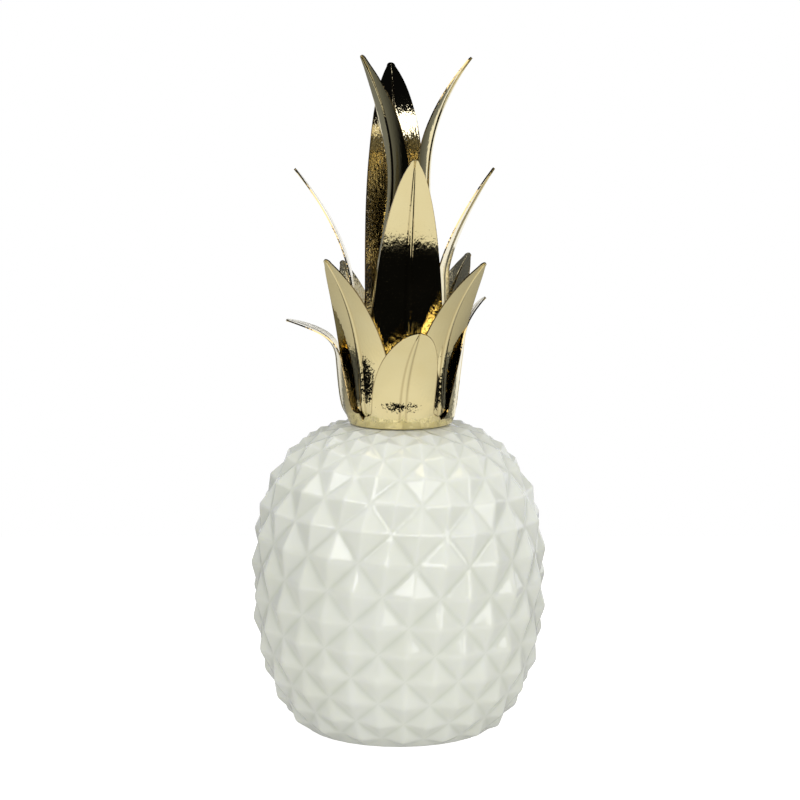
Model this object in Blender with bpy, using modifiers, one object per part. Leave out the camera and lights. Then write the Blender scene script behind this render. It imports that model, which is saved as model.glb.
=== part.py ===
"""Decorative pineapple, metres, +Z up, origin at the centre of the underside, front towards -Y.

A white glazed ceramic fruit with rows of diamond facets, and on top of it a crown of four stamped
sheet pieces, plated gold, nested one in the other. Every crown piece is a shallow cup cut into
leaves, and the leaves are bent outwards by hand, so each has its own bend.
"""

import bisect
import math
from typing import NamedTuple

import bmesh
import bpy
from mathutils import Matrix, Vector

MM = 0.001

# The fruit: two superellipse halves that meet at its widest height
WIDEST_HEIGHT = 67.0 * MM
WIDEST_RADIUS = 63.6 * MM
UPPER_REACH = 74.8 * MM
UPPER_POWER = 2.66
LOWER_REACH = 82.4 * MM
LOWER_POWER = 2.25
FRUIT_HEIGHT = 140.0 * MM
OUTLINE_SLICES = 2000

# The facets: diamonds in staggered rows, each a low pyramid on its four corners. A row's step of
# arc is a share of half a diamond's width, the row nearest the widest height lies a part of a step
# above it, and the rows sink a little from left to right, as on a casting made a little askew
FACET_COLUMNS = 16
FACET_RELIEF = 0.155
UPPER_STEP = 1.1
LOWER_STEP = 1.0
FIRST_ROW = 0.42
ROWS_ABOVE = 7
ROWS_BELOW = 6
ROW_SLANT = 0.25

# The columns of facets turn with height: degrees at the base, and how many more by the twist height
BASE_TWIST = 2.2
TWIST = 11.9
TWIST_POWER = 2.46
TWIST_HEIGHT = 132.0 * MM

# The crown: sheet thickness, the gap that keeps nested pieces apart, and how far to the right of the
# fruit's middle it was set
SHEET = 0.9 * MM
CLEARANCE = 0.3 * MM
CROWN_OFFSET = 0.9 * MM

# The cups: the outermost one's radius, how much smaller each next one is, the bend at the floor, and
# the rise and flare from there to the slits between the leaves
COLLAR_RADIUS = 23.9 * MM
TIER_INSET = 1.35 * MM
CUP_CORNER = 1.2 * MM
SLIT_RISE = 3.4 * MM
SLIT_FLARE = 0.9 * MM

# Every leaf: its rows lie closer towards the tip, it stands upright at the cup and follows its centre
# line from UPRIGHT_SHARE of its length on, and it has swollen to full width by SWELL_SHARE
LEAF_COLUMNS = 6
LEAF_ROWS = 13
ROW_CROWDING = 1.25
UPRIGHT_SHARE = 0.3
SWELL_SHARE = 0.35
TANGENT_SHARE = 0.01
TIP_WIDTH = 2.6 * MM
TIGHTEST_BOW = 16.0 * MM

# The pressed rib down a leaf's middle: height, reach as a share of half the leaf's width, and the
# width below which it fades
RIB_HEIGHT = 0.5 * MM
RIB_REACH = 0.34
RIB_FADE_WIDTH = 12.0 * MM


class Leaf(NamedTuple):
    """One leaf: its place round the cup, its Bezier centre line from the slit up, and its set."""

    place: float            # degrees from the tier's first leaf, to the right
    first: tuple            # radius and height of the first handle, in millimetres
    second: tuple           # radius and height of the second handle
    tip: tuple              # radius and height of the tip
    lean: float = 0.0       # how far the tip is bent to the leaf's right, in millimetres
    roll: float = 0.0       # how far the leaf is turned about its own length, in degrees
    breadth: float = 1.0    # its width against the tier's other leaves


class Tier(NamedTuple):
    """One stamped piece: the azimuth of its first leaf, and the outline that all its leaves share."""

    turn: float             # degrees, 0 at the front, to the right
    base_width: float       # millimetres, where the leaf leaves the cup
    full_width: float       # millimetres, where it is widest
    taper: tuple            # power and fullness of the narrowing towards the tip
    flatten: float          # how much flatter the cross-section is at the tip than at the cup
    leaves: tuple


TIERS = {
    "crown_tier_1_outer": Tier(2, 29.5, 29.5, (3.0, 0.55), 4.0, (
        Leaf(0, (30, 158), (27, 175), (43, 186), lean=7),
        Leaf(90, (33, 166), (27, 185), (38.5, 197.5)),
        Leaf(180, (30, 158), (27, 176), (44, 186), lean=-3),
        Leaf(270, (28.5, 159), (23.5, 173.5), (52, 187.2)),
    )),
    "crown_tier_2_lower_middle": Tier(-43, 28, 33, (2.0, 0.75), 4.0, (
        Leaf(0, (31, 190), (24, 178.5), (48.5, 217.5)),
        Leaf(90, (32.5, 190), (23, 178), (50.5, 216)),
        Leaf(180, (29, 184), (25, 178), (47, 214.7)),
        Leaf(270, (28, 182), (24, 182), (37.5, 212)),
    )),
    "crown_tier_3_upper_middle": Tier(4, 27, 33, (2.6, 0.75), 6.0, (
        Leaf(3, (20, 200), (17, 222), (39, 261), lean=1.5),
        Leaf(86, (18, 216), (17, 219), (41.5, 255.5)),
        Leaf(180, (20, 198), (17, 220), (42, 258)),
        Leaf(266, (22, 201), (20.5, 222), (48, 255.5)),
    )),
    "crown_tier_4_inner": Tier(-60, 29, 32, (4.0, 1.0), 2.0, (
        Leaf(0, (4, 218), (-2, 269), (20.5, 306), roll=-12, breadth=0.84),
        Leaf(128, (15.5, 201), (1, 256), (34, 305), breadth=0.85),
        Leaf(249, (14, 202), (2, 264), (28, 303)),
    )),
}


def clear_scene():
    """Remove the objects that a new file starts with."""
    for thing in list(bpy.data.objects):
        bpy.data.objects.remove(thing, do_unlink=True)


def make_material(name, colour, roughness, metallic):
    """A plain Principled material."""
    material = bpy.data.materials.new(name)
    material.use_nodes = True
    shader = material.node_tree.nodes["Principled BSDF"]
    shader.inputs["Base Color"].default_value = (*colour, 1.0)
    shader.inputs["Roughness"].default_value = roughness
    shader.inputs["Metallic"].default_value = metallic
    return material


def add_object(name, build, material, collection):
    """Make one named object from a finished bmesh."""
    mesh = bpy.data.meshes.new(name)
    build.to_mesh(mesh)
    build.free()
    mesh.materials.append(material)
    part = bpy.data.objects.new(name, mesh)
    collection.objects.link(part)
    return part


def outline_point(turn):
    """Radius and height of the fruit's outline, for a turn in radians from the widest height."""
    if turn >= 0:
        reach, power = UPPER_REACH, UPPER_POWER
    else:
        reach, power = LOWER_REACH, LOWER_POWER
    radius = WIDEST_RADIUS * abs(math.cos(turn)) ** (2 / power)
    rise = reach * abs(math.sin(turn)) ** (2 / power)
    return Vector((radius, WIDEST_HEIGHT + math.copysign(rise, turn)))


def outline_steps(sign, step_share):
    """Points down or up one half of the outline, each with the steps of arc that lead to it."""
    here = outline_point(0.0)
    steps = 0.0
    places = [(0.0, here)]
    for slice_number in range(1, OUTLINE_SLICES):
        ahead = outline_point(sign * math.pi / 2 * slice_number / OUTLINE_SLICES)
        steps += sign * (ahead - here).length / (step_share * math.pi * ahead.x / FACET_COLUMNS)
        here = ahead
        places.append((steps, here))
    return places


def outline_at(places, steps):
    """The outline's point that many steps from the widest height, read between two near points."""
    index = bisect.bisect_left(places, steps, key=lambda place: place[0])
    index = min(max(index, 1), len(places) - 1)
    (low_steps, low), (high_steps, high) = places[index - 1], places[index]
    return low.lerp(high, (steps - low_steps) / (high_steps - low_steps))


def twist_at(height):
    """How far the columns have turned at a height, in radians."""
    return math.radians(BASE_TWIST + TWIST * (max(height, 0.0) / TWIST_HEIGHT) ** TWIST_POWER)


def lattice_point(places, row, step, peak):
    """A corner of the diamonds, or a peak, pushed out square to the outline by the relief."""
    turn = math.pi * step / FACET_COLUMNS
    turn += twist_at(outline_at(places, row + FIRST_ROW).y)
    steps = row + FIRST_ROW - ROW_SLANT * math.sin(turn)
    point = outline_at(places, steps)
    if peak:
        along = (outline_at(places, steps + 0.5) - outline_at(places, steps - 0.5)).normalized()
        cell_width = 2 * math.pi * point.x / FACET_COLUMNS
        point = point + Vector((along.y, -along.x)) * FACET_RELIEF * cell_width
    return Vector((point.x * math.sin(turn), -point.x * math.cos(turn), point.y))


def fruit_body(material, collection):
    """The ceramic fruit: rows of corners and peaks by turns, joined so that the corners lie low."""
    build = bmesh.new()
    places = outline_steps(-1, LOWER_STEP)[:0:-1] + outline_steps(1, UPPER_STEP)
    count = 2 * FACET_COLUMNS
    rings = [flat_ring(build, places, 0.0, count)]
    for row in range(-ROWS_BELOW, ROWS_ABOVE + 1):
        ring = []
        for step in range(count):
            peak = (step + row) % 2 == 0
            ring.append(build.verts.new(lattice_point(places, row, step, peak)))
        rings.append(ring)
    rings.append(flat_ring(build, places, FRUIT_HEIGHT, count))
    for number, (low, high) in enumerate(zip(rings, rings[1:])):
        row = number - ROWS_BELOW - 1
        for step in range(count):
            after = (step + 1) % count
            if (step + row) % 2 == 1:
                build.faces.new((low[step], low[after], high[after]))
                build.faces.new((low[step], high[after], high[step]))
            else:
                build.faces.new((low[step], low[after], high[step]))
                build.faces.new((low[after], high[after], high[step]))
    build.faces.new(rings[0][::-1])
    build.faces.new(rings[-1])
    return add_object("fruit_body", build, material, collection)


def flat_ring(build, places, height, count):
    """The ring of points where the outline meets a flat end, turned with the facets there."""
    radius = min(places, key=lambda place: abs(place[1].y - height))[1].x
    return level_ring(build, radius, height, twist_at(height), count)


def level_ring(build, radius, height, first_turn, count):
    """A level ring of evenly spaced points, from the first turn on to the right."""
    ring = []
    for step in range(count):
        turn = first_turn + 2 * math.pi * step / count
        ring.append(build.verts.new((radius * math.sin(turn), -radius * math.cos(turn), height)))
    return ring


def join_rings(build, low, high):
    """A band of faces between two rings of the same count, facing out."""
    count = len(low)
    for step in range(count):
        after = (step + 1) % count
        build.faces.new((low[step], low[after], high[after], high[step]))


def bezier(start, first, second, end, share):
    """A point of a cubic Bezier curve."""
    rest = 1 - share
    return (
        start * rest ** 3 + first * 3 * rest ** 2 * share
        + second * 3 * rest * share ** 2 + end * share ** 3
    )


def leaf_width(share, tier, leaf):
    """A leaf's width at a share of its length: it swells from the base, then tapers to the tip."""
    power, fullness = tier.taper
    swell = math.sin(min(share / SWELL_SHARE, 1.0) * math.pi / 2)
    width = tier.base_width + (tier.full_width * leaf.breadth - tier.base_width) * swell
    return max(width * MM * (1 - share ** power) ** fullness, TIP_WIDTH)


def leaf_row(centre, along, width, bow, azimuth, lean, roll):
    """One row of points across a leaf, on an arc that bows outwards, with a raised middle rib."""
    inward = Vector((-along.y, along.x))
    points = []
    for column in range(LEAF_COLUMNS + 1):
        side = 2 * column / LEAF_COLUMNS - 1
        reach = side * width / 2
        across = bow * math.sin(reach / bow)
        depth = bow * (1 - math.cos(reach / bow))
        rib = RIB_HEIGHT * min(1.0, width / RIB_FADE_WIDTH)
        depth -= rib * max(0.0, 1 - abs(side) / RIB_REACH)
        turned = Matrix.Rotation(roll, 2) @ Vector((across, depth))
        radius = centre.x + inward.x * turned.y
        height = centre.y + inward.y * turned.y
        point = Vector((turned.x + lean, -radius, height))
        points.append(Matrix.Rotation(azimuth, 3, "Z") @ point)
    return points


def crown_tier(name, order, material, collection):
    """One stamped crown piece: a flat disc, a low cup wall and its leaves, as one bent sheet."""
    tier = TIERS[name]
    rim_radius = COLLAR_RADIUS - order * TIER_INSET
    floor = FRUIT_HEIGHT + CLEARANCE + order * (SHEET + CLEARANCE)
    slit_radius = rim_radius + SLIT_FLARE
    slit_height = floor + SLIT_RISE
    share_angle = 2 * math.pi / len(tier.leaves)
    build = bmesh.new()
    count = len(tier.leaves) * LEAF_COLUMNS
    first_turn = math.radians(tier.turn) - share_angle / 2
    profile = (
        (rim_radius / 2, floor),
        (rim_radius - CUP_CORNER, floor),
        (rim_radius, floor + CUP_CORNER),
        (slit_radius, slit_height),
    )
    hub = build.verts.new((0, 0, floor))
    rings = [level_ring(build, radius, height, first_turn, count) for radius, height in profile]
    for step in range(count):
        build.faces.new((hub, rings[0][(step + 1) % count], rings[0][step]))
    for low, high in zip(rings, rings[1:]):
        join_rings(build, low, high)
    for number, leaf in enumerate(tier.leaves):
        first = number * LEAF_COLUMNS
        base = [rings[-1][(first + column) % count] for column in range(LEAF_COLUMNS + 1)]
        add_leaf(build, tier, leaf, base, Vector((slit_radius, slit_height)))
    part = add_object(name, build, material, collection)
    part.location.x = CROWN_OFFSET
    sheet = part.modifiers.new("Sheet thickness", "SOLIDIFY")
    sheet.thickness = SHEET
    sheet.offset = -1.0
    return part


def add_leaf(build, tier, leaf, base, start):
    """Grow one leaf from its stretch of the cup's rim, row by row, to the tip."""
    first, second, tip = (Vector(point) * MM for point in (leaf.first, leaf.second, leaf.tip))
    azimuth = math.radians(tier.turn + leaf.place)
    last_row = base
    for row in range(1, LEAF_ROWS + 1):
        share = 1 - (1 - row / LEAF_ROWS) ** ROW_CROWDING
        centre = bezier(start, first, second, tip, share)
        ahead = bezier(start, first, second, tip, min(share + TANGENT_SHARE, 1.0))
        behind = bezier(start, first, second, tip, share - TANGENT_SHARE)
        blend = min(share / UPRIGHT_SHARE, 1.0)
        along = Vector((0, 1)).lerp((ahead - behind).normalized(), blend).normalized()
        bow = max(centre.x, TIGHTEST_BOW) * (1 + tier.flatten * share ** 2)
        points = leaf_row(
            centre, along, leaf_width(share, tier, leaf), bow, azimuth,
            leaf.lean * MM * share ** 2, math.radians(leaf.roll) * share,
        )
        new_row = [build.verts.new(point) for point in points]
        for column in range(LEAF_COLUMNS):
            build.faces.new((last_row[column], last_row[column + 1], new_row[column + 1], new_row[column]))
        last_row = new_row


def build_model():
    """Make the fruit and the crown."""
    clear_scene()
    collection = bpy.data.collections.new("Decorative pineapple")
    bpy.context.scene.collection.children.link(collection)
    ceramic = make_material("glazed_ceramic", (0.74, 0.76, 0.69), 0.12, 0.0)
    gold = make_material("gold_plated_sheet", (0.78, 0.62, 0.30), 0.15, 1.0)
    fruit_body(ceramic, collection)
    for order, name in enumerate(TIERS):
        crown_tier(name, order, gold, collection)


build_model()
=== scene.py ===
"""Looks of a decorative pineapple: a glazed ceramic fruit under a crown of gold-plated leaves.

The pieces follow the solids' own sizes and add what those leave out: the glaze that softens every
crease, the double line pressed down each leaf, the rounded notches, the cut edges and the hammering.
"""

import math
from typing import NamedTuple

import bmesh
import bpy
import numpy as np
from mathutils import Matrix, Vector


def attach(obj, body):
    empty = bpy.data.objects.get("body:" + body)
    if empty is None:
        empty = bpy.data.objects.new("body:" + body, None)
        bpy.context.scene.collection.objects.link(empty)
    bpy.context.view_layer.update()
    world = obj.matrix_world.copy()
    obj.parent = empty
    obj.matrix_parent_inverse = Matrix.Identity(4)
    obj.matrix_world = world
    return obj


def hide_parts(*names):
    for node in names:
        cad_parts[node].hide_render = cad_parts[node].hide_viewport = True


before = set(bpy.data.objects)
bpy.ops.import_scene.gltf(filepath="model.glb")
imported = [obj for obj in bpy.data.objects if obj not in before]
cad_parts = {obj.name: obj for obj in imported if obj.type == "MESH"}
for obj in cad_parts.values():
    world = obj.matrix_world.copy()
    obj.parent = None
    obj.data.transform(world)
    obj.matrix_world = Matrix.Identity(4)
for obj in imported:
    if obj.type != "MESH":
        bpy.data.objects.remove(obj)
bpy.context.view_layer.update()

MM = 0.001

# The fruit's outline: two superellipse halves that meet at its widest height. It starts a little wider
# than the solid model's, since the glaze's softening takes the facets' peaks down
WIDEST_HEIGHT = 67.0 * MM
WIDEST_RADIUS = 64.7 * MM
UPPER_REACH = 74.8 * MM
UPPER_POWER = 2.66
LOWER_REACH = 82.4 * MM
LOWER_POWER = 2.38
FRUIT_HEIGHT = 140.0 * MM
OUTLINE_SLICES = 2000

# The facets: staggered rows of diamonds, each a low pyramid, whose columns turn with height
FACET_COLUMNS = 16
FACET_RELIEF = 0.14
UPPER_STEP = 1.1
LOWER_STEP = 1.0
FIRST_ROW = 0.42
ROWS_ABOVE = 7
ROWS_BELOW = 6
ROW_SLANT = 0.25
BASE_TWIST = 2.2
TWIST = 11.9
TWIST_POWER = 2.46
TWIST_HEIGHT = 132.0 * MM

# The glaze: how finely a facet is divided, how many passes soften the ridges and the valleys, and how
# much of each pass counts low and high on the fruit, since the glaze ran down in the kiln
FACET_CUTS = 14
RIDGE_PASSES = 8
VALLEY_PASSES = 14
RUN_HEIGHTS = (45.0 * MM, 100.0 * MM)
RUN_SHARES = (1.0, 0.25)
GLAZE_SOFTENING = 0.5

# The crown's sheet, thinner to the eye than in the solid model, and its nested cups
SHEET = 0.9 * MM
SEEN_SHEET = 0.6 * MM
CLEARANCE = 0.3 * MM
CROWN_OFFSET = 0.9 * MM
COLLAR_RADIUS = 23.9 * MM
TIER_INSET = 1.35 * MM
CUP_CORNER = 1.2 * MM
SLIT_RISE = 3.4 * MM
SLIT_FLARE = 0.9 * MM
CORNER_STEPS = 4

# Every leaf: where it has swollen to full width, how soon it leaves the cup's own flare, the round of
# its tip and how far short of it the last row stops in tip radii, the tightest arc across it, how
# finely it is divided, and the round of its cut edge
SWELL_SHARE = 0.35
CUP_BLEND = 5.0 * MM
TIP_RADIUS = 2.0 * MM
TIP_SHORTFALL = 0.02
TIGHTEST_BOW = 16.0 * MM
LEAF_ROWS = 44
NOTCH_ROWS = 6
TIP_ROWS = 5
LINE_POINTS = 200
EDGE_ROUND = 0.18 * MM

# The pressed rib: a raised band with a line at each side, as shares of half the leaf's width
RIB_HEIGHT = 0.5 * MM
RIB_FLAT = 0.01
RIB_REACH = 0.12
RIB_START = 5.0 * MM
RIB_LINE_PLACE = 0.09
RIB_LINE_REACH = 0.05

# Where painted shade darkens the plating: a line along the cut edge, and weaker ones beside the rib
EDGE_LINE = 0.96
PRESSED_SHARE = 0.6

# Where the points across half a leaf lie, as shares of half its width, close together at the rib
HALF_SIDES = (
    0.0, 0.02, 0.04, 0.06, 0.08, 0.1, 0.12, 0.15, 0.2,
    0.3, 0.4, 0.5, 0.6, 0.7, 0.8, 0.9, 0.96, 1.0,
)
SIDES = tuple(-side for side in HALF_SIDES[:0:-1]) + HALF_SIDES


class Leaf(NamedTuple):
    """One leaf: its place round the cup, the side view of its middle line, and its set."""

    place: float            # degrees from the tier's first leaf, to the right
    foot: float             # radius that it stands at above the cup, in millimetres
    rise: float             # how far it leans out on its way up, as a slope
    bend: float             # height where it starts to bend outwards, in millimetres
    curl: float             # power of the bend: the higher, the nearer to the tip it bends
    tip: tuple              # radius and height of the tip, in millimetres
    lean: float = 0.0       # how far the tip is bent to the leaf's right, in millimetres
    roll: float = 0.0       # how far the leaf is turned about its own length, in degrees
    breadth: float = 1.0    # its width against the tier's other leaves


class Tier(NamedTuple):
    """One stamped piece: the azimuth of its first leaf, and the outline that all its leaves share."""

    turn: float             # degrees, 0 at the front, to the right
    base_width: float       # millimetres, where the leaf leaves the cup
    full_width: float       # millimetres, where it is widest
    taper: tuple            # power and fullness of the narrowing towards the tip
    flatten: float          # how much flatter the cross-section is at the tip than at the cup
    leaves: tuple


TIERS = {
    "crown_tier_1_outer": Tier(2, 29.5, 29.5, (3.0, 0.55), 4.0, (
        Leaf(0, 26.4, 0.0, 152, 1.6, (40, 185.5), lean=7),
        Leaf(90, 24.6, 0.12, 178, 2.4, (38.6, 197.4)),
        Leaf(180, 26.0, 0.1, 160, 2.2, (44, 186), lean=-3),
        Leaf(270, 27.2, 0.075, 168, 3.2, (52, 187.3)),
    )),
    "crown_tier_2_lower_middle": Tier(-43, 28, 33, (2.0, 0.75), 4.0, (
        Leaf(0, 25.6, 0.02, 152, 2.5, (48.5, 217.5)),
        Leaf(90, 24.6, 0.02, 154, 2.4, (50.5, 216)),
        Leaf(180, 24.4, 0.02, 156, 2.3, (47, 214.7)),
        Leaf(270, 24.4, 0.02, 160, 2.2, (37.5, 212)),
    )),
    "crown_tier_3_upper_middle": Tier(4, 27, 33, (2.6, 0.66), 36.0, (
        Leaf(3, 22.0, 0.07, 215, 1.4, (39, 261), lean=1.5),
        Leaf(74.5, 21.1, -0.015, 208, 1.42, (42.6, 256.3)),
        Leaf(180, 21.6, -0.01, 200, 1.8, (42, 258)),
        Leaf(266, 22.3, 0.0, 198, 1.85, (47.8, 255.6)),
    )),
    "crown_tier_4_inner": Tier(-60, 29, 32, (4.0, 0.72), 1.2, (
        Leaf(0, 20.5, -0.165, 235, 2.1, (20.3, 306), roll=2, breadth=0.8),
        Leaf(128, 20.5, -0.075, 238, 2.4, (33.8, 305), roll=6, breadth=0.78),
        Leaf(249, 20.3, -0.02, 262, 2.15, (30, 302.6)),
    )),
}

# Names of what the meshes tell their materials: how thick the glaze lies, which darkens the valleys partly
# as pooled glaze and partly as painted shade, how far up its leaf a point of the sheet is, and how near it
# is to a cut edge or to a line that the press left beside the rib, where painted shade browns the plating
GLAZE_DEPTH = "glaze_depth"
LEAF_SHARE = "leaf_share"
LINE = "line"

# The glaze: the fill at which it looks fully pooled, in millimetres, where the valleys are darkest, partly
# with the pooled glaze's tone and partly with painted shade; and the sizes of its faint clouds, of the
# ripples in its skin, of how far light travels in the clay, and of the bare clay's grain
POOLED_FILL = 0.7
GLAZE_CLOUD = 30 * MM
GLAZE_RIPPLE = 7 * MM
GLAZE_RIPPLE_HEIGHT = 0.03 * MM
CLAY_GLOW = 4 * MM
CLAY_GRAIN = 0.8 * MM
CLAY_GRAIN_HEIGHT = 0.05 * MM

# The sheet: broad waves all over, and fine hammered dents drawn out along the leaf. The dents are
# deeper on the inner side, and fade between two shares of the leaf's length to a weaker share of
# themselves. On the inner side the second place lies past the tip, so they never fade that far
WAVE_SIZE = 14 * MM
WAVE_HEIGHT = 0.12 * MM
DENT_SIZE = 1.0 * MM
DENT_STRETCH = (1.0, 1.0, 0.45)
DENTS_OUTSIDE = 0.15 * MM
DENTS_INSIDE = 0.25 * MM
HAMMERED_OUTSIDE = (0.15, 0.5)
HAMMERED_INSIDE = (0.4, 1.2)
SMOOTH_SHARE = 0.25

# The camera that the photograph was taken with, worked out from the fruit's outline and its rows
CAMERA_DISTANCE = 1.06
CAMERA_HEIGHT = 0.3047
CAMERA_SIDE = 0.00055
CAMERA_TILT = 0.1445
CAMERA_FOCAL = 105.68

# The table, worked out from what the gold mirrors in the photograph: it glows with painted light, more and
# more from a line behind the fruit to one in front of it, standing in for the light that falls on its front
TABLE_WIDTH, TABLE_DEPTH = 0.9, 0.84
TABLE_CORNERS = ((-1, -1), (1, -1), (1, 1), (-1, 1))
TABLE_GLOW_START, TABLE_GLOW_FULL = 0.22, -TABLE_DEPTH / 4
TABLE_GLOW_FRONT = 0.45
TABLE_GLOW_SEEN = 0.9

# The room: how bright it is in a shiny surface from front to back, and how much soft light falls on a
# matt one from below to above, each between two values of a direction's depth or height
ROOM_DEPTHS = (-0.1, 0.6)
ROOM_FRONT, ROOM_BACK = 0.003, 0.2
SOFT_LIGHT_HEIGHTS = (-0.8, 0.45)
SOFT_LIGHT_BELOW, SOFT_LIGHT_ABOVE = 0.0, 0.46

# The softboxes and cards: how far they stand from the point that all of them face
BOX_DISTANCE = 1.6
LIT_HEIGHT = 0.2


def srgb(code):
    """The linear colour of an sRGB hex code, with full alpha."""
    channels = [int(code[place:place + 2], 16) / 255 for place in (1, 3, 5)]
    linear = [((value + 0.055) / 1.055) ** 2.4 if value > 0.04045 else value / 12.92 for value in channels]
    return (*linear, 1.0)


def add_node(material, kind, settings=None, links=None):
    """Add a node with its settings and links: attributes by name, sockets by name or number."""
    tree = material.node_tree
    node = tree.nodes.new(kind)
    for name, value in (settings or {}).items():
        if isinstance(name, str) and hasattr(node, name):
            setattr(node, name, value)
        else:
            node.inputs[name].default_value = value
    for name, source in (links or {}).items():
        tree.links.new(source, node.inputs[name])
    return node


def new_material(name):
    """A new node material and its shader."""
    material = bpy.data.materials.new(name)
    material.use_nodes = True
    return material, material.node_tree.nodes["Principled BSDF"]


def glazed_earthenware():
    """White slip-cast earthenware under a clear glossy glaze.

    The eye sees a deep, soft, faintly green white. The glaze draws off the ridges, which look a
    little brighter, and pools in the valleys, which are darker partly for the pooled glaze's tone
    and partly with painted shade in the creases; its skin ripples softly like orange peel.
    """
    material, shader = new_material("glazed_white_earthenware")
    place = add_node(material, "ShaderNodeTexCoord").outputs["Object"]
    depth = add_node(material, "ShaderNodeAttribute", {"attribute_name": GLAZE_DEPTH}).outputs["Fac"]
    cloud = add_node(
        material, "ShaderNodeTexNoise", {"Scale": 1 / GLAZE_CLOUD, "Detail": 3.0}, {"Vector": place},
    ).outputs["Fac"]
    ripple = add_node(
        material, "ShaderNodeTexNoise", {"Scale": 1 / GLAZE_RIPPLE, "Detail": 1.0}, {"Vector": place},
    ).outputs["Fac"]
    pooling_and_crease_shade = add_node(
        material, "ShaderNodeMapRange", {"From Min": 0.0, "From Max": POOLED_FILL}, {"Value": depth},
    ).outputs["Result"]
    # Painted shade: the valleys turn darker and greener where the glaze fills them, partly the pooled
    # glaze's own tone and partly shade in the creases
    white = add_node(
        material, "ShaderNodeMix",
        {"data_type": "RGBA", 6: srgb("#F1F3EC"), 7: srgb("#DFE3D7")}, {0: pooling_and_crease_shade},
    ).outputs[2]
    clouded = add_node(
        material, "ShaderNodeMix", {"data_type": "RGBA", "blend_type": "MULTIPLY", 7: srgb("#F6F6F0")},
        {0: cloud, 6: white},
    ).outputs[2]
    skin = add_node(
        material, "ShaderNodeBump", {"Strength": 1.0, "Distance": GLAZE_RIPPLE_HEIGHT}, {"Height": ripple},
    ).outputs["Normal"]
    material.node_tree.links.new(clouded, shader.inputs["Base Color"])
    material.node_tree.links.new(skin, shader.inputs["Normal"])
    shader.inputs["Roughness"].default_value = 0.05
    shader.inputs["IOR"].default_value = 1.6
    shader.inputs["Subsurface Weight"].default_value = 0.8
    shader.inputs["Subsurface Radius"].default_value = (1.0, 1.0, 0.85)
    shader.inputs["Subsurface Scale"].default_value = CLAY_GLOW
    return material


def bare_earthenware():
    """The wiped foot, where the bare fired clay shows: dry, cream white and faintly grainy."""
    material, shader = new_material("bare_fired_clay")
    place = add_node(material, "ShaderNodeTexCoord").outputs["Object"]
    grain = add_node(
        material, "ShaderNodeTexNoise", {"Scale": 1 / CLAY_GRAIN, "Detail": 4.0}, {"Vector": place},
    ).outputs["Fac"]
    clay = add_node(
        material, "ShaderNodeMix",
        {"data_type": "RGBA", 6: srgb("#D3CBB9"), 7: srgb("#E6E0D2")}, {0: grain},
    ).outputs[2]
    rough = add_node(
        material, "ShaderNodeBump", {"Strength": 0.6, "Distance": CLAY_GRAIN_HEIGHT}, {"Height": grain},
    ).outputs["Normal"]
    material.node_tree.links.new(clay, shader.inputs["Base Color"])
    material.node_tree.links.new(rough, shader.inputs["Normal"])
    shader.inputs["Roughness"].default_value = 0.85
    return material


def gold_plated_sheet(name, tones, dent_height, hammered):
    """One side of a stamped metal sheet with bright pale gold plating.

    The eye sees a champagne-coloured mirror that shows the white table and the dark room by turns.
    The sheet waves a little all over and is finely hammered, and the dents fade between two shares
    of each leaf's length: low down on the outer side, and nearer to the tip on the inner one. The
    cut edge and the pressed lines beside the rib look browner with painted shade.
    """
    material, shader = new_material(name)
    place = add_node(material, "ShaderNodeTexCoord").outputs["Object"]
    share = add_node(material, "ShaderNodeAttribute", {"attribute_name": LEAF_SHARE}).outputs["Fac"]
    low = add_node(
        material, "ShaderNodeMapRange",
        {"From Min": hammered[0], "From Max": hammered[1], "To Min": 1.0, "To Max": SMOOTH_SHARE},
        {"Value": share},
    ).outputs["Result"]
    drawn_out = add_node(
        material, "ShaderNodeMapping", {"Scale": DENT_STRETCH}, {"Vector": place},
    ).outputs["Vector"]
    dents = add_node(
        material, "ShaderNodeTexNoise", {"Scale": 1 / DENT_SIZE, "Detail": 2.0}, {"Vector": drawn_out},
    ).outputs["Fac"]
    waves = add_node(
        material, "ShaderNodeTexNoise", {"Scale": 1 / WAVE_SIZE, "Detail": 1.0}, {"Vector": place},
    ).outputs["Fac"]
    waved = add_node(
        material, "ShaderNodeBump", {"Strength": 1.0, "Distance": WAVE_HEIGHT}, {"Height": waves},
    ).outputs["Normal"]
    line = add_node(material, "ShaderNodeAttribute", {"attribute_name": LINE}).outputs["Fac"]
    dented = add_node(
        material, "ShaderNodeMath", {"operation": "MAXIMUM"}, {0: low, 1: line},
    ).outputs["Value"]
    surface = add_node(
        material, "ShaderNodeBump", {"Distance": dent_height},
        {"Height": dents, "Strength": dented, "Normal": waved},
    ).outputs["Normal"]
    tone = add_node(
        material, "ShaderNodeMix", {"data_type": "RGBA", 6: srgb(tones[0]), 7: srgb(tones[1])}, {0: waves},
    ).outputs[2]
    # Painted shade: the cut edge and the pressed lines beside the rib turn browner
    painted_shade_lined = add_node(
        material, "ShaderNodeMix", {"data_type": "RGBA", 7: srgb("#AE986A")}, {0: line, 6: tone},
    ).outputs[2]
    haze = add_node(
        material, "ShaderNodeMapRange", {"To Min": 0.03, "To Max": 0.09}, {"Value": waves},
    ).outputs["Result"]
    material.node_tree.links.new(painted_shade_lined, shader.inputs["Base Color"])
    material.node_tree.links.new(haze, shader.inputs["Roughness"])
    material.node_tree.links.new(surface, shader.inputs["Normal"])
    shader.inputs["Metallic"].default_value = 1.0
    return material


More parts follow.
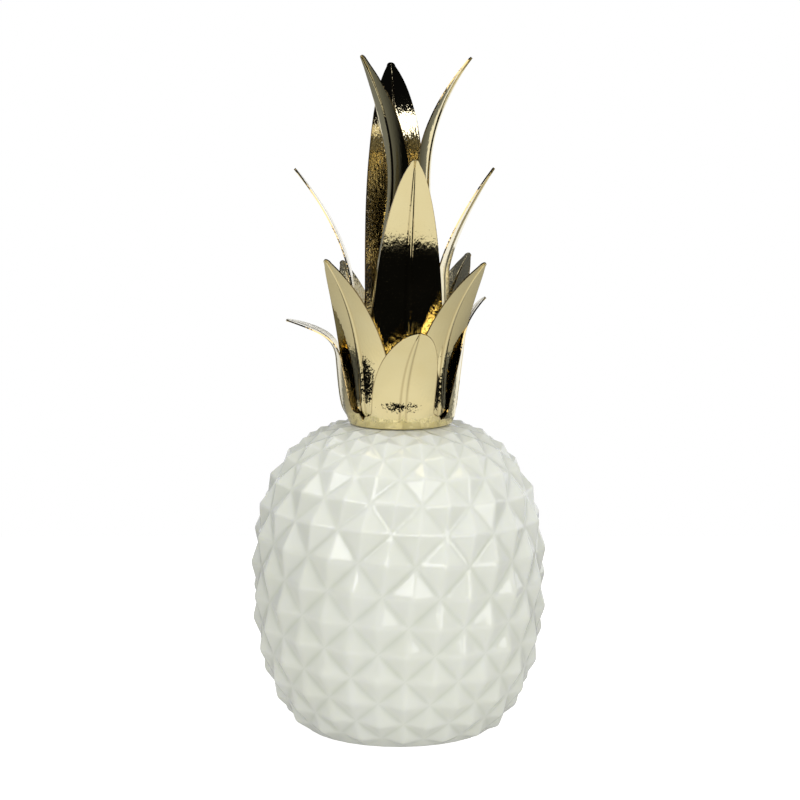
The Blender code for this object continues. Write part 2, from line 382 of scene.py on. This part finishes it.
def outline_half(sign, step_share):
    """Steps of arc, radii and heights down or up one half of the outline."""
    reach, power = (UPPER_REACH, UPPER_POWER) if sign > 0 else (LOWER_REACH, LOWER_POWER)
    turns = np.linspace(0, math.pi / 2, OUTLINE_SLICES, endpoint=False)
    radii = WIDEST_RADIUS * np.cos(turns) ** (2 / power)
    heights = WIDEST_HEIGHT + sign * reach * np.sin(turns) ** (2 / power)
    arcs = np.hypot(np.diff(radii), np.diff(heights))
    steps = np.cumsum(arcs / (step_share * math.pi * radii[1:] / FACET_COLUMNS))
    return np.concatenate(([0.0], sign * steps)), radii, heights


def outline_table():
    """The whole outline from base to top: steps of arc, radii and heights."""
    below, above = outline_half(-1, LOWER_STEP), outline_half(1, UPPER_STEP)
    return [np.concatenate((low[:0:-1], high)) for low, high in zip(below, above)]


def twist_at(heights):
    """How far the columns have turned at each height, in radians."""
    return np.radians(BASE_TWIST + TWIST * (np.maximum(heights, 0.0) / TWIST_HEIGHT) ** TWIST_POWER)


def lattice_points(outline):
    """The corners and peaks of the diamonds, row by row, between the two flat ends."""
    steps_known, radii_known, heights_known = outline
    count = 2 * FACET_COLUMNS
    columns = np.arange(count)
    rows = [end_ring(outline, 0.0)]
    for row in range(-ROWS_BELOW, ROWS_ABOVE + 1):
        level = np.interp(row + FIRST_ROW, steps_known, heights_known)
        turns = math.pi * columns / FACET_COLUMNS + twist_at(level)
        steps = row + FIRST_ROW - ROW_SLANT * np.sin(turns)
        radii = np.interp(steps, steps_known, radii_known)
        heights = np.interp(steps, steps_known, heights_known)
        radius_run = (
            np.interp(steps + 0.5, steps_known, radii_known)
            - np.interp(steps - 0.5, steps_known, radii_known)
        )
        height_run = (
            np.interp(steps + 0.5, steps_known, heights_known)
            - np.interp(steps - 0.5, steps_known, heights_known)
        )
        length = np.hypot(radius_run, height_run)
        relief = np.where((columns + row) % 2 == 0, FACET_RELIEF * math.pi * radii / FACET_COLUMNS * 2, 0.0)
        radii = radii + relief * height_run / length
        heights = heights - relief * radius_run / length
        rows.append(np.stack((radii * np.sin(turns), -radii * np.cos(turns), heights), axis=1))
    rows.append(end_ring(outline, FRUIT_HEIGHT))
    return np.stack(rows)


def end_ring(outline, height):
    """The ring of points where the outline meets a flat end."""
    _, radii_known, heights_known = outline
    radius = np.interp(height, heights_known, radii_known)
    turns = math.pi * np.arange(2 * FACET_COLUMNS) / FACET_COLUMNS + twist_at(height)
    return np.stack((radius * np.sin(turns), -radius * np.cos(turns), np.full_like(turns, height)), axis=1)


def divide_facets(coarse):
    """A fine grid over the flat facets, each cell of the lattice folded along its valley."""
    bands, count = coarse.shape[0] - 1, coarse.shape[1]
    cuts = FACET_CUTS
    fine = np.empty((bands * cuts + 1, count * cuts, 3))
    across, up = np.meshgrid(np.arange(cuts) / cuts, np.arange(cuts + 1) / cuts)
    across, up = across[..., None], up[..., None]
    for band in range(bands):
        for step in range(count):
            after = (step + 1) % count
            low_left, low_right = coarse[band, step], coarse[band, after]
            high_left, high_right = coarse[band + 1, step], coarse[band + 1, after]
            if (step + band - ROWS_BELOW - 1) % 2 == 1:
                right_side = low_left * (1 - across) + low_right * (across - up) + high_right * up
                left_side = low_left * (1 - up) + high_left * (up - across) + high_right * across
                patch = np.where(across >= up, right_side, left_side)
            else:
                low_side = low_left * (1 - across - up) + low_right * across + high_left * up
                high_side = high_right * (across + up - 1) + high_left * (1 - across) + low_right * (1 - up)
                patch = np.where(across + up <= 1, low_side, high_side)
            fine[band * cuts:(band + 1) * cuts + 1, step * cuts:(step + 1) * cuts] = patch
    return fine


def soften(points):
    """Round the creases as glaze does: a little on the ridges, and more in the valleys that it fills."""
    for turn in range(VALLEY_PASSES):
        middle = points[1:-1]
        around = np.roll(middle, 1, axis=1) + np.roll(middle, -1, axis=1) + points[:-2] + points[2:]
        move = GLAZE_SOFTENING * (around / 4 - middle) * np.interp(middle[..., 2:], RUN_HEIGHTS, RUN_SHARES)
        if turn >= RIDGE_PASSES:
            fills = (move * outward_from_middle(middle)).sum(axis=2, keepdims=True) > 0
            move = np.where(fills, move, 0.0)
        points[1:-1] = middle + move
    return points


def outward_from_middle(points):
    """Directions away from the middle of the fruit at each point."""
    outward = points - np.array((0, 0, WIDEST_HEIGHT))
    return outward / np.linalg.norm(outward, axis=2, keepdims=True)


def glaze_fills(sharp, points):
    """How much the glaze stands out from the sharp shape at each point, in millimetres."""
    return ((points - sharp) * outward_from_middle(sharp)).sum(axis=2) / MM


def fruit(glaze, clay):
    """The ceramic fruit as one closed mesh, bare clay on its underside."""
    sharp = divide_facets(lattice_points(outline_table()))
    points = soften(sharp.copy())
    build = bmesh.new()
    depth = build.verts.layers.float.new(GLAZE_DEPTH)
    rings = []
    for ring_points, ring_fills in zip(points, glaze_fills(sharp, points)):
        ring = [build.verts.new(point) for point in ring_points]
        for vert, fill in zip(ring, ring_fills):
            vert[depth] = fill
        rings.append(ring)
    count = len(rings[0])
    for low, high in zip(rings, rings[1:]):
        for step in range(count):
            after = (step + 1) % count
            build.faces.new((low[step], low[after], high[after], high[step])).smooth = True
    build.faces.new(rings[0][::-1]).material_index = 1
    build.faces.new(rings[-1])
    return add_piece("glazed_fruit", build, (glaze, clay), "fruit_body")


def add_piece(name, build, materials, node):
    """Make one piece of the finished mesh, in place of a node of the solid model."""
    mesh = bpy.data.meshes.new(name)
    build.to_mesh(mesh)
    build.free()
    for material in materials:
        mesh.materials.append(material)
    piece = bpy.data.objects.new(name, mesh)
    bpy.context.scene.collection.objects.link(piece)
    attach(piece, "root")
    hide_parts(node)
    return piece


def middle_line(leaf, slit_radius, slit_height):
    """Radii, heights and lengths along a leaf's middle line, from the slit to the tip."""
    tip_radius, tip_height = leaf.tip[0] * MM, leaf.tip[1] * MM
    heights = np.linspace(slit_height, tip_height, LINE_POINTS)
    standing = leaf.foot * MM + leaf.rise * (heights - slit_height)
    bent = np.clip((heights - leaf.bend * MM) / (tip_height - leaf.bend * MM), 0, 1) ** leaf.curl
    radii = standing + (tip_radius - standing[-1]) * bent
    radii += (slit_radius - radii[0]) * np.exp((slit_height - heights) / CUP_BLEND)
    lengths = np.concatenate(([0.0], np.cumsum(np.hypot(np.diff(radii), np.diff(heights)))))
    return radii, heights, lengths


def leaf_width(share, tier, leaf):
    """A leaf's width at a share of its length: it swells from the base, then tapers to the tip."""
    power, fullness = tier.taper
    swell = math.sin(min(share / SWELL_SHARE, 1.0) * math.pi / 2)
    width = tier.base_width + (tier.full_width * leaf.breadth - tier.base_width) * swell
    return max(width * MM * (1 - share ** power) ** fullness, 2 * TIP_RADIUS)


def round_gap(reach, radius):
    """Half the width of a round-bottomed notch, or of a round end, at a distance from its bottom."""
    return math.sqrt(radius ** 2 - (radius - min(reach, radius)) ** 2)


def rib_rise(side):
    """How high the pressed rib stands at a share of half the leaf's width."""
    flank = (RIB_REACH - abs(side)) / (RIB_REACH - RIB_FLAT)
    flank = min(max(flank, 0.0), 1.0)
    return RIB_HEIGHT * flank * flank * (3 - 2 * flank)


# This weight browns the plating with painted shade, and strengthens the dents there
def line_at(side):
    """How much a place across the leaf is on its cut edge, or on a pressed line beside the rib."""
    edge = (abs(side) - EDGE_LINE) / (1 - EDGE_LINE)
    pressed = 1 - abs(abs(side) - RIB_LINE_PLACE) / RIB_LINE_REACH
    return max(edge, PRESSED_SHARE * pressed, 0.0)


def leaf_row(centre, along, width, bow, rib, azimuth, lean, roll):
    """One row of points across a leaf, on an arc that bows outwards, with the rib pressed in."""
    inward = Vector((-along.y, along.x))
    points = []
    for side in SIDES:
        reach = side * width / 2
        across = bow * math.sin(reach / bow)
        depth = bow * (1 - math.cos(reach / bow)) - rib * rib_rise(side)
        turned = Matrix.Rotation(roll, 2) @ Vector((across, depth))
        point = Vector((turned.x + lean, -centre.x - inward.x * turned.y, centre.y + inward.y * turned.y))
        points.append(Matrix.Rotation(azimuth, 3, "Z") @ point)
    return points


def row_reaches(length, notch):
    """Distances from the slit at which a leaf has its rows: close at the notch and at the tip."""
    low = [notch * (1 - math.cos(math.pi / 2 * row / NOTCH_ROWS)) for row in range(1, NOTCH_ROWS)]
    high = [
        length - TIP_RADIUS * (1 - math.cos(math.pi / 2 * row / TIP_ROWS))
        for row in range(TIP_ROWS - 1, 0, -1)
    ]
    middle = np.linspace(notch, length - TIP_RADIUS, LEAF_ROWS)
    return low + list(middle) + high + [length - TIP_SHORTFALL * TIP_RADIUS]


def add_leaf(build, layers, tier, leaf, base, start, base_arc):
    """Grow one leaf from its stretch of the cup's rim, row by row, to the tip."""
    azimuth = math.radians(tier.turn + leaf.place)
    radii, heights, lengths = middle_line(leaf, *start)
    radius_runs, height_runs = np.gradient(radii), np.gradient(heights)
    length = lengths[-1]
    notch = (base_arc - tier.base_width * MM) / 2
    last_row = base
    for reach in row_reaches(length, notch):
        share = reach / length
        centre = Vector((np.interp(reach, lengths, radii), np.interp(reach, lengths, heights)))
        along = Vector((np.interp(reach, lengths, radius_runs), np.interp(reach, lengths, height_runs)))
        width = leaf_width(share, tier, leaf)
        if reach < notch:
            width = base_arc - 2 * round_gap(reach, notch)
        width = min(width, 2 * round_gap(length - reach, TIP_RADIUS) + max(width - 2 * TIP_RADIUS, 0.0))
        bow = max(centre.x, TIGHTEST_BOW) * (1 + tier.flatten * share ** 2)
        points = leaf_row(
            centre, along.normalized(), width, bow, min(reach / RIB_START, 1.0), azimuth,
            leaf.lean * MM * share ** 2, math.radians(leaf.roll) * share,
        )
        new_row = [build.verts.new(point) for point in points]
        for vert, side in zip(new_row, SIDES):
            vert[layers[0]], vert[layers[1]] = share, line_at(side)
        for column in range(len(SIDES) - 1):
            build.faces.new((last_row[column], last_row[column + 1], new_row[column + 1], new_row[column]))
        last_row = new_row


def cup_profile(rim_radius, floor):
    """Radius and height down the cup's outer side, from its floor round the corner to the slits."""
    profile = [(rim_radius / 2, floor)]
    for step in range(CORNER_STEPS + 1):
        turn = math.pi / 2 * step / CORNER_STEPS
        profile.append((
            rim_radius - CUP_CORNER * (1 - math.sin(turn)),
            floor + CUP_CORNER * (1 - math.cos(turn)),
        ))
    profile.append((rim_radius + SLIT_FLARE, floor + SLIT_RISE))
    return profile


def crown_tier(node, order, golds):
    """One stamped crown piece: floor, cup wall and leaves as one sheet with rounded cut edges.

    The two golds are those of its outer and of its inner side.
    """
    tier = TIERS[node]
    rim_radius = COLLAR_RADIUS - order * TIER_INSET
    floor = FRUIT_HEIGHT + CLEARANCE + order * (SHEET + CLEARANCE)
    share_angle = 2 * math.pi / len(tier.leaves)
    profile = cup_profile(rim_radius, floor)
    build = bmesh.new()
    layers = [build.verts.layers.float.new(name) for name in (LEAF_SHARE, LINE)]
    hub = build.verts.new((0, 0, floor))
    rings = []
    for radius, height in profile:
        ring = []
        for number in range(len(tier.leaves)):
            for side in SIDES[:-1]:
                angle = math.radians(tier.turn) + (number + side / 2) * share_angle
                ring.append(build.verts.new((radius * math.sin(angle), -radius * math.cos(angle), height)))
        rings.append(ring)
    count = len(rings[0])
    for step in range(count):
        build.faces.new((hub, rings[0][(step + 1) % count], rings[0][step]))
    for low, high in zip(rings, rings[1:]):
        for step in range(count):
            after = (step + 1) % count
            build.faces.new((low[step], low[after], high[after], high[step]))
    slit_radius, slit_height = profile[-1]
    for number, leaf in enumerate(tier.leaves):
        first = number * (len(SIDES) - 1)
        base = [rings[-1][(first + column) % count] for column in range(len(SIDES))]
        add_leaf(build, layers, tier, leaf, base, (slit_radius, slit_height), share_angle * slit_radius)
    for face in build.faces:
        face.smooth = True
    piece = add_piece(node.replace("crown_", "gold_"), build, golds, node)
    piece.location.x = CROWN_OFFSET
    sheet = piece.modifiers.new("Sheet thickness", "SOLIDIFY")
    sheet.thickness = SEEN_SHEET
    sheet.offset = -1.0
    sheet.material_offset = 1
    edge = piece.modifiers.new("Rounded cut edge", "BEVEL")
    edge.width = EDGE_ROUND
    edge.segments = 2
    edge.limit_method = "ANGLE"
    edge.angle_limit = math.radians(60)
    edge.harden_normals = True
    return piece


def studio():
    """A pale table in a dim room, with softboxes round the front and above, and cards and backdrops."""
    bpy.context.scene.view_settings.view_transform = "Standard"
    table_with_painted_glow()
    room_light()
    softbox("Softbox front left", -12, 21, (1.45, 0.48), 3.0)
    softbox("Softbox front right", 51, 8, (0.72, 0.72), 2.3)
    softbox("Softbox above", 5, 82, (1.1, 0.9), 3.5, mirrored=False)
    softbox("Softbox high left", -75, 52, (0.8, 0.5), 1.4)
    softbox("Strip front right", 24, 4, (0.3, 0.42), 1.8)
    softbox("Card left", -85, 20, (1.2, 0.5), 0.3)
    softbox("Card right", 98, 14, (1.3, 0.7), 0.5)
    softbox("Backdrop right", 155, -2, (1.5, 0.7), 0.8)
    softbox("Backdrop left", -165, -2, (0.9, 0.7), 0.6)


def table_with_painted_glow():
    """The wide pale table that the object stands on: the camera sees it burnt out to white, and a painted
    glow brightens it towards the front for everything else.
    """
    build = bmesh.new()
    corners = [(side * TABLE_WIDTH / 2, end * TABLE_DEPTH / 2, 0) for side, end in TABLE_CORNERS]
    build.faces.new([build.verts.new(corner) for corner in corners])
    mesh = bpy.data.meshes.new("table_with_painted_glow")
    build.to_mesh(mesh)
    build.free()
    material, shader = new_material("pale_table_painted_glow")
    seen = add_node(material, "ShaderNodeLightPath").outputs["Is Camera Ray"]
    place = add_node(material, "ShaderNodeTexCoord").outputs["Object"]
    depth = add_node(material, "ShaderNodeSeparateXYZ", {}, {"Vector": place}).outputs["Y"]
    # Painted light: the table glows more and more towards the front, standing in for the light on its
    # front, and glows steadily to the camera
    front = add_node(
        material, "ShaderNodeMapRange",
        {"From Min": TABLE_GLOW_START, "From Max": TABLE_GLOW_FULL, "To Max": TABLE_GLOW_FRONT},
        {"Value": depth},
    ).outputs["Result"]
    glow = add_node(
        material, "ShaderNodeMix", {"data_type": "FLOAT", 3: TABLE_GLOW_SEEN}, {0: seen, 2: front},
    ).outputs[0]
    material.node_tree.links.new(glow, shader.inputs["Emission Strength"])
    shader.inputs["Base Color"].default_value = srgb("#A8A8A6")
    shader.inputs["Roughness"].default_value = 0.9
    shader.inputs["Specular IOR Level"].default_value = 0.0
    shader.inputs["Emission Color"].default_value = (1.0, 1.0, 1.0, 1.0)
    mesh.materials.append(material)
    table = bpy.data.objects.new("table_with_painted_glow", mesh)
    bpy.context.scene.collection.objects.link(table)


def room_light():
    """The room: white paper to the camera, soft light from above on matt things, dim in a mirror."""
    world = bpy.data.worlds.new("Studio room")
    bpy.context.scene.world = world
    world.use_nodes = True
    path = add_node(world, "ShaderNodeLightPath")
    place = add_node(world, "ShaderNodeTexCoord").outputs["Generated"]
    direction = add_node(world, "ShaderNodeSeparateXYZ", {}, {"Vector": place})
    depth = add_node(
        world, "ShaderNodeMapRange",
        {
            "From Min": ROOM_DEPTHS[0], "From Max": ROOM_DEPTHS[1],
            "To Min": ROOM_FRONT, "To Max": ROOM_BACK,
        },
        {"Value": direction.outputs["Y"]},
    ).outputs["Result"]
    height = add_node(
        world, "ShaderNodeMapRange",
        {
            "From Min": SOFT_LIGHT_HEIGHTS[0], "From Max": SOFT_LIGHT_HEIGHTS[1],
            "To Min": SOFT_LIGHT_BELOW, "To Max": SOFT_LIGHT_ABOVE,
        },
        {"Value": direction.outputs["Z"]},
    ).outputs["Result"]
    room = world.node_tree.nodes["Background"]
    room.inputs["Color"].default_value = (0.9, 0.97, 1.1, 1.0)
    world.node_tree.links.new(depth, room.inputs["Strength"])
    soft = add_node(world, "ShaderNodeBackground", {"Color": (1.0, 1.0, 0.99, 1.0)}, {"Strength": height})
    paper = add_node(world, "ShaderNodeBackground", {"Color": (1.0, 1.0, 1.0, 1.0)})
    matt = add_node(
        world, "ShaderNodeMixShader", {},
        {0: path.outputs["Is Diffuse Ray"], 1: room.outputs[0], 2: soft.outputs[0]},
    )
    seen = add_node(
        world, "ShaderNodeMixShader", {},
        {0: path.outputs["Is Camera Ray"], 1: matt.outputs[0], 2: paper.outputs[0]},
    )
    world.node_tree.links.new(seen.outputs[0], world.node_tree.nodes["World Output"].inputs["Surface"])


def softbox(name, azimuth, elevation, size, radiance, mirrored=True):
    """A rectangular softbox or card that faces the object: azimuth 0 in front, counted to the right.

    One that isn't mirrored lights the ceramic and leaves no glint in the gold or in the glaze.
    """
    lamp = bpy.data.lights.new(name, "AREA")
    lamp.shape = "RECTANGLE"
    lamp.size, lamp.size_y = size
    lamp.energy = radiance * math.pi * size[0] * size[1]
    box = bpy.data.objects.new(name, lamp)
    turn, rise = math.radians(azimuth), math.radians(elevation)
    away = Vector((math.sin(turn) * math.cos(rise), -math.cos(turn) * math.cos(rise), math.sin(rise)))
    box.location = Vector((0, 0, LIT_HEIGHT)) + away * BOX_DISTANCE
    box.rotation_euler = (-away).to_track_quat("-Z", "Y").to_euler()
    box.visible_camera = False
    box.visible_glossy = mirrored
    bpy.context.scene.collection.objects.link(box)


def camera():
    """The photograph's camera."""
    data = bpy.data.cameras.new("Photo camera")
    data.sensor_width = 36
    data.lens = CAMERA_FOCAL
    view = bpy.data.objects.new("Photo camera", data)
    view.location = (CAMERA_SIDE, -CAMERA_DISTANCE, CAMERA_HEIGHT)
    view.rotation_euler = (math.pi / 2 - CAMERA_TILT, 0, 0)
    bpy.context.scene.collection.objects.link(view)
    bpy.context.scene.camera = view


camera()
studio()
fruit(glazed_earthenware(), bare_earthenware())
plating = (
    gold_plated_sheet("pale_gold_plated_outside", ("#EDDBA2", "#F4E6B4"), DENTS_OUTSIDE, HAMMERED_OUTSIDE),
    gold_plated_sheet("pale_gold_plated_inside", ("#E8DAB4", "#F2E8C6"), DENTS_INSIDE, HAMMERED_INSIDE),
)
for order, node in enumerate(TIERS):
    crown_tier(node, order, plating)
